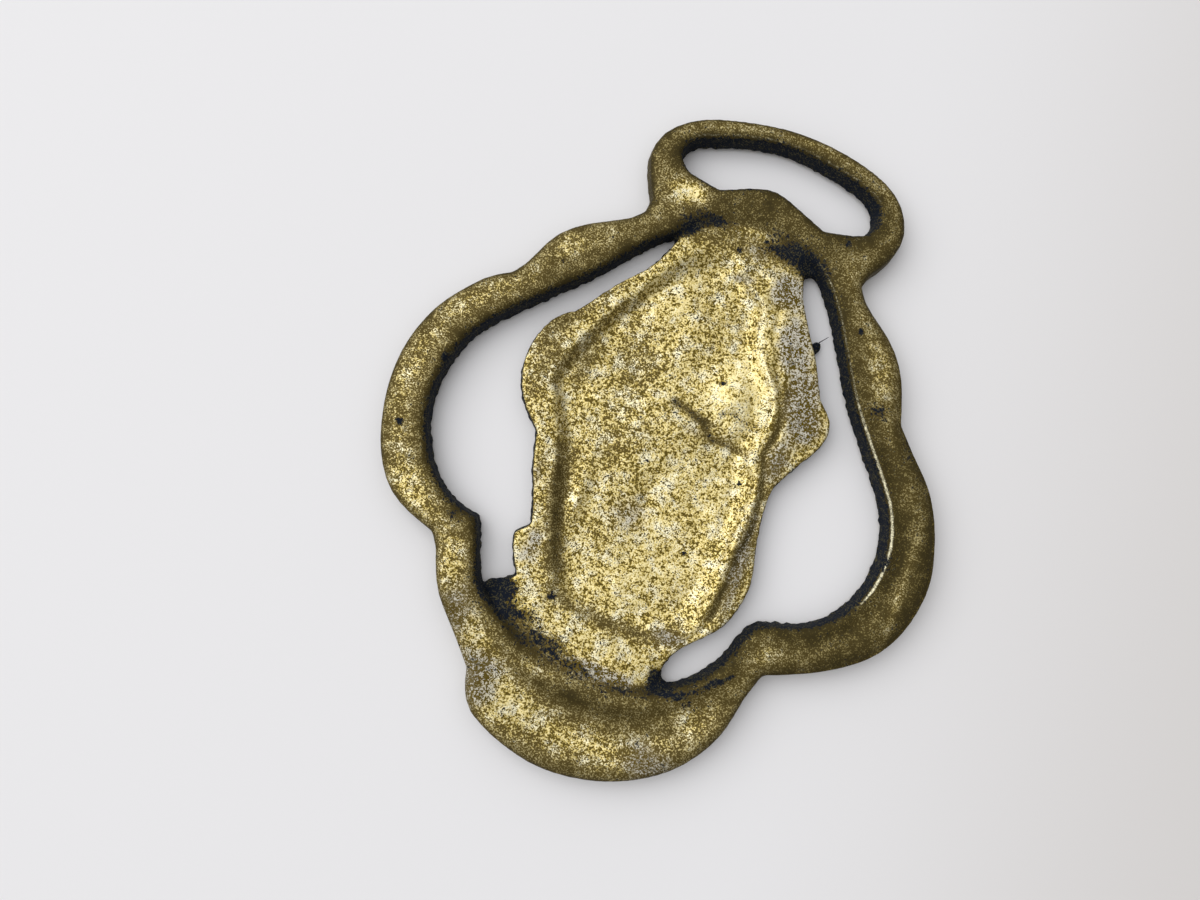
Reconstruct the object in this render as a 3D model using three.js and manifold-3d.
// A horse brass, cast in one piece: a strap loop, a lobed openwork frame and a hollow-backed bust.
// Millimetres. It lies on its front: +Z is its back, +Y runs up to the strap loop, and +X is the
// right-hand side as seen from above. The origin is at the middle of the underside.

import * as THREE from 'three';
import { mergeVertices } from 'three/addons/utils/BufferGeometryUtils.js';
import Module from 'manifold-3d';

const wasm = await Module();
wasm.setup();

// Heights of the frame, from the face it lies on. The flash is the step in the wall just above
// the parting line.
const FRAME_THICKNESS = 4.2;
const PARTING_LINE = 0.9;
const FLASH_HEIGHT = 0.2;

// The edges of the frame and of the bust are rounded from the shoulder up
const SHOULDER = 3.5;
const EDGE_INSET = 0.9;
const LOWER_EDGE_STEP = 0.4;

// The loop gets thinner towards its top
const LOOP_THICKNESS = 3.5;
const LOOP_TAPER_START = 33;
const LOOP_TOP = 44.5;

// The crescent trough along the bottom lobe is the sweep of a flat oval about this centre, in a
// ring tilted by some degrees
const TROUGH = {
  centre: [-0.6, -17.6], radius: 20.6, halfWidth: 4.2, depth: 1.1, tilt: 4, sides: 10, steps: 64,
};

// Heights of the bust, from the face the brass lies on
const BUST_RIM = 2.9;
const BUST_PRISM_TOP = 3.9;
const BUST_PARTING_LINE = 0.6;
const BUST_GROUND = 0.75;

// The hollow in the bust's back, and the ridge along its right edge, which starts past the middle
const HOLLOW_DEPTH = 1.15;
const HOLLOW_SLOPE = 2.2;
const RIDGE = { rise: 0.25, outside: 0.4, halfWidth: 0.9, runIn: 3 };

// Soft swellings and dips of the bust's back
const SWELLINGS = [
  { at: [6.2, 9], halfWidth: 3.8, halfHeight: 5, rise: 0.35 },
  { at: [-3, 0], halfWidth: 6, halfHeight: 4, rise: 0.2 },
  { at: [0, -24.6], halfWidth: 9, halfHeight: 1.6, rise: -0.35 },
];

// The bust's back rises to the frame above its head and below its foot
const TOP_RAMP = { start: 26, end: 30.5, rise: 0.8 };
const FOOT_RAMP = { start: -28.5, end: -33, rise: 1.0 };

// Where the openings end in a thin web, the metal is sunk
const PIT_DEPTH = 1.6;
const PITS = [
  { at: [-15.8, -26], halfWidth: 1.9, halfHeight: 1.9 },
  { at: [9.4, -30.2], halfWidth: 1.7, halfHeight: 1.6 },
  { at: [10, 28], halfWidth: 1.7, halfHeight: 1.6 },
];

// The front of the bust: a cocked hat, a head, the hair beside it and the shoulders, each a soft
// swelling that stands out from the ground towards the face the brass lies on
const FRONT_FORMS = [
  { at: [-1.4, 15.5], halfWidth: 8.5, halfHeight: 9, rise: 0.7 },
  { at: [-12.5, 6.5], halfWidth: 7.5, halfHeight: 3.4, rise: 0.62 },
  { at: [10, 8], halfWidth: 7, halfHeight: 3.4, rise: 0.62 },
  { at: [-0.8, -6], halfWidth: 7.6, halfHeight: 11, rise: 0.72 },
  { at: [-12, -9.5], halfWidth: 2.2, halfHeight: 7, rise: 0.5 },
  { at: [11.6, -9.5], halfWidth: 2.2, halfHeight: 7, rise: 0.5 },
  { at: [-2, -27], halfWidth: 11, halfHeight: 5, rise: 0.65 },
];
const FORM_SPREAD = 1.12;

// Spacing of the facets
const OUTLINE_STEP = 1.9;
const SLOT_OUTLINE_STEP = 1.5;
const BUST_OUTLINE_STEP = 1.7;
const HOLLOW_OUTLINE_STEP = 1;
const RELIEF_STEP = 1.4;

// Every outline is a closed chain of runs. A run is a smooth curve through its points, and two
// runs meet at a corner. All are drawn at the parting line, where the casting is widest.
const OUTER_OUTLINE = {
  loop: [
    [-13.8, 29], [-15.3, 32], [-16.1, 35], [-15.2, 38.1], [-12.1, 41], [-7.1, 43], [1, LOOP_TOP],
    [8.2, 44.1], [14.3, 42.4], [17.8, 39.9], [19.6, 36], [18.8, 32], [17, 29.3], [16.5, 27.6],
  ],
  upperRightLobe: [
    [16.5, 27.6], [17.9, 25.6], [20.2, 23.9], [23.2, 21.3], [25.3, 18.1], [26.4, 15.2], [27.3, 12.2],
  ],
  rightLobe: [
    [27.3, 12.2], [30.2, 9], [33.3, 5.7], [35.4, 2], [36.9, -2.5], [37.5, -6], [37.1, -10],
    [35.8, -14], [33.7, -17.2], [31.2, -19.4], [27.1, -21.9], [23, -23.7], [20.9, -24.5],
  ],
  bottomLobe: [
    [20.9, -24.5], [19.6, -28.3], [19.1, -31], [18, -34.2], [15.7, -37.7], [12.6, -40.6], [8, -43.1],
    [3.5, -44.4], [-2, -44.8], [-7, -43.8], [-10.6, -42.4], [-13.1, -40.8], [-14.5, -38.2], [-14.9, -36.4],
  ],
  lowerLeftBand: [
    [-14.9, -36.4], [-17.5, -33.4], [-21.5, -29], [-22.9, -26.5], [-24, -23.6], [-25.1, -21.9],
  ],
  leftLobe: [
    [-25.1, -21.9], [-29.5, -20.3], [-32.2, -18.5], [-34.5, -15.4], [-36.1, -11.5], [-37.2, -6],
    [-37.1, -1], [-36.1, 3], [-34.7, 6.1], [-32.6, 9], [-29.9, 11.9], [-27.4, 13.4],
  ],
  upperLeftLobe: [
    [-27.4, 13.4], [-25.9, 15.6], [-24.9, 18.1], [-23.3, 20.6], [-20.9, 22.6], [-14.2, 26.8], [-13.8, 29],
  ],
};
const SLOT_OUTLINE = {
  top: [
    [-11.8, 36.1], [-11, 38], [-8, 39.4], [-3, 41], [1.5, 41.6], [7, 41.1], [12, 39.9], [14.4, 38.6],
    [15.2, 36.6], [14.6, 34.7], [12.5, 33.8], [9, 33.1],
  ],
  bulge: [[9, 33.1], [4, 35.1], [1.7, 35.8], [-1, 35.4], [-5.8, 33.4]],
  leftEnd: [[-5.8, 33.4], [-8, 33.8], [-10.4, 34.3], [-11.8, 36.1]],
};
const RING_OUTLINE = {
  top: [
    [-17, 16.8], [-14.1, 20.3], [-11.7, 23.1], [-9.2, 25.4], [-6.2, 28.2], [-3, 29.9], [1.5, 30.6],
    [6, 29.8], [10.4, 27.2], [12.3, 25.3], [14.6, 21.9], [17, 17.7], [20.1, 12.4], [23, 8.5], [26, 4.7],
  ],
  rightLobe: [
    [26, 4.7], [28.4, 1.3], [29.9, -2.5], [30.2, -6], [29.4, -10], [27.2, -13.9], [24, -16.4],
    [18.5, -18.1],
  ],
  lowerRightBand: [[18.5, -18.1], [16.9, -19.7], [16, -22.5], [14.6, -25.4], [12.3, -28]],
  bottomLobe: [
    [12.3, -28], [9, -30.3], [5, -32.2], [0, -33], [-5, -32.3], [-10, -30.3], [-14.5, -27.5],
    [-17.3, -25.2],
  ],
  lowerLeftBand: [[-17.3, -25.2], [-18.1, -23.2], [-19.1, -20.4], [-20.2, -17.9]],
  leftLobe: [
    [-20.2, -17.9], [-24.4, -16.7], [-27.5, -14.1], [-29.6, -10.8], [-30.9, -7], [-31.1, -3.5],
    [-30.4, 0.5], [-29, 4], [-26.4, 7.3], [-22.6, 11.2], [-17, 16.8],
  ],
};

// The bust runs on under the frame at its top and at its foot
const BUST_OUTLINE = {
  top: [[-8.8, 24.9], [-7, 30], [0, 32], [7, 31.2], [11.8, 28.4]],
  rightWeb: [[11.8, 28.4], [10.3, 27.1], [9, 26.8]],
  rightBrim: [[9, 26.8], [9.4, 24.6], [11.8, 20.1], [14.1, 16.5], [15.4, 13.8], [16.4, 11.7]],
  rightTip: [[16.4, 11.7], [18.4, 9.7], [18.9, 7.8], [18.3, 5.5], [16.6, 2.7], [14.4, -1.2]],
  rightSide: [
    [14.4, -1.2], [14.2, -4], [14.8, -9], [15.8, -14], [15.4, -17.2], [14.2, -20.4], [10.2, -24.7],
  ],
  footRight: [[10.2, -24.7], [8.8, -26.8], [8.6, -28.9]],
  foot: [[8.6, -28.9], [10.2, -29.9], [9.5, -32], [-2, -35], [-9, -33], [-15, -28.8], [-16.9, -26.2]],
  leftWeb: [[-16.9, -26.2], [-16.3, -25.1], [-14.6, -24.2], [-13.2, -23.3]],
  tab: [[-13.2, -23.3], [-14.9, -20.2], [-15.4, -18.1]],
  tabTop: [[-15.4, -18.1], [-14.8, -17], [-13.7, -16.5]],
  leftSide: [[-13.7, -16.5], [-14.8, -13], [-16, -10], [-16.7, -7.5], [-17.2, -5.2]],
  leftTip: [
    [-17.2, -5.2], [-20, -2.3], [-21.3, 0], [-22, 3], [-21.9, 5.5], [-21.2, 8], [-19.7, 10.4],
    [-17.8, 11.7],
  ],
  leftBrim: [[-17.8, 11.7], [-14.2, 16.7], [-10.4, 21.2], [-8.8, 24.9]],
};
const HOLLOW_OUTLINE = {
  all: [
    [-3, 25.5], [2, 23.8], [5.8, 20.5], [6.7, 17], [8.5, 13], [10.5, 9], [11.2, 5], [10.8, 1],
    [11.7, -2], [12.3, -6], [11.7, -12], [11.3, -17], [10.3, -21.5], [7, -24], [0, -25], [-7, -23.5],
    [-9, -20], [-10.8, -15], [-12.3, -10], [-13.8, -5], [-15.5, -1.5], [-17.2, 2], [-16.8, 5],
    [-14.5, 10.5], [-11.5, 15.5], [-8, 21], [-3, 25.5],
  ],
};

// Points along a smooth curve, without the last one, which the next run starts with
function runPoints(points, step) {
  const places = points.map(([x, y]) => new THREE.Vector3(x, y, 0));
  const curve = new THREE.CatmullRomCurve3(places, false, 'centripetal');
  const pieces = Math.max(1, Math.round(curve.getLength() / step));
  return curve.getSpacedPoints(pieces).slice(0, -1).map((p) => new THREE.Vector2(p.x, p.y));
}

// The runs are written clockwise, and a shape and its holes are drawn the other way round
function closedOutline(outline, step) {
  return Object.values(outline).flatMap((points) => runPoints(points, step)).reverse();
}

// The casting stands in the middle of its own outline
const outerPoints = closedOutline(OUTER_OUTLINE, OUTLINE_STEP);
const middle = new THREE.Box2().setFromPoints(outerPoints).getCenter(new THREE.Vector2());

function solidFrom(geometry) {
  const bare = geometry.index ? geometry.toNonIndexed() : geometry.clone();
  bare.deleteAttribute('normal');
  bare.deleteAttribute('uv');
  const merged = mergeVertices(bare, 1e-4);
  const mesh = new wasm.Mesh({
    numProp: 3,
    vertProperties: new Float32Array(merged.attributes.position.array),
    triVerts: new Uint32Array(merged.index.array),
  });
  return new wasm.Manifold(mesh);
}

function geometryFrom(solid) {
  const mesh = solid.getMesh();
  const geometry = new THREE.BufferGeometry();
  geometry.setAttribute('position', new THREE.BufferAttribute(mesh.vertProperties, 3));
  geometry.setIndex(new THREE.BufferAttribute(mesh.triVerts, 1));
  return geometry;
}

// A plate with drafted walls: widest at the parting line, a little narrower at the shoulder, and
// rounded to both faces. The extrusion gives its edges two steps, and each step goes to its height.
function draftedPlate(shape, top, partingLine) {
  const geometry = new THREE.ExtrudeGeometry(shape, {
    depth: 1,
    curveSegments: 1,
    bevelEnabled: true,
    bevelThickness: 1,
    bevelSize: EDGE_INSET,
    bevelOffset: -EDGE_INSET,
    bevelSegments: 2,
  });
  const halfStep = Math.cos(Math.PI / 4);
  const levels = [
    [-1, 0], [-halfStep, partingLine * LOWER_EDGE_STEP], [0, partingLine], [1, partingLine + FLASH_HEIGHT],
    [1 + halfStep, SHOULDER], [2, top],
  ];
  const place = geometry.attributes.position;
  for (let i = 0; i < place.count; i += 1) {
    const level = levels.find(([from]) => Math.abs(place.getZ(i) - from) < 1e-3);
    place.setZ(i, level[1]);
  }
  return solidFrom(geometry);
}

function buildFrame() {
  const shape = new THREE.Shape(outerPoints);
  shape.holes.push(new THREE.Path(closedOutline(SLOT_OUTLINE, SLOT_OUTLINE_STEP)));
  shape.holes.push(new THREE.Path(closedOutline(RING_OUTLINE, OUTLINE_STEP)));
  return draftedPlate(shape, FRAME_THICKNESS, PARTING_LINE);
}

// What is cut off the back of the loop, so that it gets thinner towards its top
function loopTaper() {
  const run = LOOP_TOP - LOOP_TAPER_START;
  const size = 60;
  const box = new THREE.BoxGeometry(size, size, size);
  box.translate(0, size / 2, size / 2);
  box.rotateX(-Math.atan2(FRAME_THICKNESS - LOOP_THICKNESS, run));
  box.translate(0, LOOP_TAPER_START, FRAME_THICKNESS);
  return solidFrom(box);
}

// A tilted flat ring, which dips into the bottom lobe and passes over the rest of the frame
function troughCutter() {
  const { centre, radius, halfWidth, depth, tilt, sides, steps } = TROUGH;
  const angle = THREE.MathUtils.degToRad(tilt);
  const ring = new THREE.TorusGeometry(radius, halfWidth, sides, steps);
  ring.scale(1, 1, (2 * depth) / halfWidth);
  ring.rotateX(angle);
  ring.translate(centre[0], centre[1], FRAME_THICKNESS + depth + radius * Math.sin(angle));
  return solidFrom(ring);
}

const hollowEdge = closedOutline(HOLLOW_OUTLINE, HOLLOW_OUTLINE_STEP);

// How far a place is inside the edge of the hollow, and less than nothing outside it
function depthInsideHollow(x, y) {
  let nearest = Infinity;
  let inside = false;
  for (let i = 0; i < hollowEdge.length; i += 1) {
    const a = hollowEdge[i];
    const b = hollowEdge[(i + 1) % hollowEdge.length];
    const along = ((x - a.x) * (b.x - a.x) + (y - a.y) * (b.y - a.y)) / a.distanceToSquared(b);
    const t = THREE.MathUtils.clamp(along, 0, 1);
    nearest = Math.min(nearest, Math.hypot(x - a.x - t * (b.x - a.x), y - a.y - t * (b.y - a.y)));
    if (a.y > y !== b.y > y && x < a.x + ((y - a.y) * (b.x - a.x)) / (b.y - a.y)) {
      inside = !inside;
    }
  }
  return inside ? nearest : -nearest;
}

function bump(x, y, { at, halfWidth, halfHeight }) {
  return Math.exp(-(((x - at[0]) / halfWidth) ** 2) - ((y - at[1]) / halfHeight) ** 2);
}

// How far a place has come along a ramp, from 0 before it to 1 past it
function alongRamp(y, { start, end }) {
  const share = (y - start) / (end - start);
  return THREE.MathUtils.smoothstep(share, 0, 1);
}

// The back of the bust: a rim, a hollow with a few soft swellings in it, a groove across its foot,
// and ramps up to the frame at its top and at its foot
function backHeight(x, y) {
  const inside = depthInsideHollow(x, y);
  const sunk = THREE.MathUtils.smoothstep(inside, -0.3 * HOLLOW_SLOPE, 0.7 * HOLLOW_SLOPE);
  const ridge = Math.exp(-(((inside + RIDGE.outside) / RIDGE.halfWidth) ** 2));
  let height = BUST_RIM - HOLLOW_DEPTH * sunk;
  height += RIDGE.rise * ridge * THREE.MathUtils.smoothstep(x, 0, RIDGE.runIn);
  height += SWELLINGS.reduce((sum, swelling) => sum + swelling.rise * bump(x, y, swelling), 0);
  height += TOP_RAMP.rise * alongRamp(y, TOP_RAMP) + FOOT_RAMP.rise * alongRamp(y, FOOT_RAMP);
  height -= PIT_DEPTH * Math.max(...PITS.map((pit) => bump(x, y, pit)));
  return height;
}

function frontHeight(x, y) {
  const rises = FRONT_FORMS.map(({ at, halfWidth, halfHeight, rise }) => {
    const away = Math.hypot((x - at[0]) / halfWidth, (y - at[1]) / halfHeight) / FORM_SPREAD;
    return rise * Math.sqrt(Math.max(0, 1 - away ** 2));
  });
  return BUST_GROUND - Math.max(...rises, 0);
}

// A slab whose two faces are the back and the front of the bust
function reliefSlab(box) {
  const size = box.getSize(new THREE.Vector2()).addScalar(2 * RELIEF_STEP);
  const centre = box.getCenter(new THREE.Vector2());
  const across = Math.ceil(size.x / RELIEF_STEP);
  const along = Math.ceil(size.y / RELIEF_STEP);
  const slab = new THREE.BoxGeometry(size.x, size.y, 2, across, along, 1);
  slab.translate(centre.x, centre.y, 0);
  const place = slab.attributes.position;
  for (let i = 0; i < place.count; i += 1) {
    const x = place.getX(i);
    const y = place.getY(i);
    place.setZ(i, place.getZ(i) > 0 ? backHeight(x, y) : frontHeight(x, y));
  }
  return solidFrom(slab);
}

function buildBust() {
  const points = closedOutline(BUST_OUTLINE, BUST_OUTLINE_STEP);
  const plate = draftedPlate(new THREE.Shape(points), BUST_PRISM_TOP, BUST_PARTING_LINE);
  return plate.intersect(reliefSlab(new THREE.Box2().setFromPoints(points)));
}

const casting = buildFrame().subtract(loopTaper()).subtract(troughCutter()).add(buildBust());

const brass = new THREE.MeshStandardMaterial({ color: 0xa8894a, roughness: 0.5, metalness: 0.9 });
const horseBrass = new THREE.Mesh(geometryFrom(casting), brass);
horseBrass.name = 'horse_brass';
horseBrass.position.set(-middle.x, -middle.y, 0);

const model = new THREE.Group();
model.add(horseBrass);

export default model;
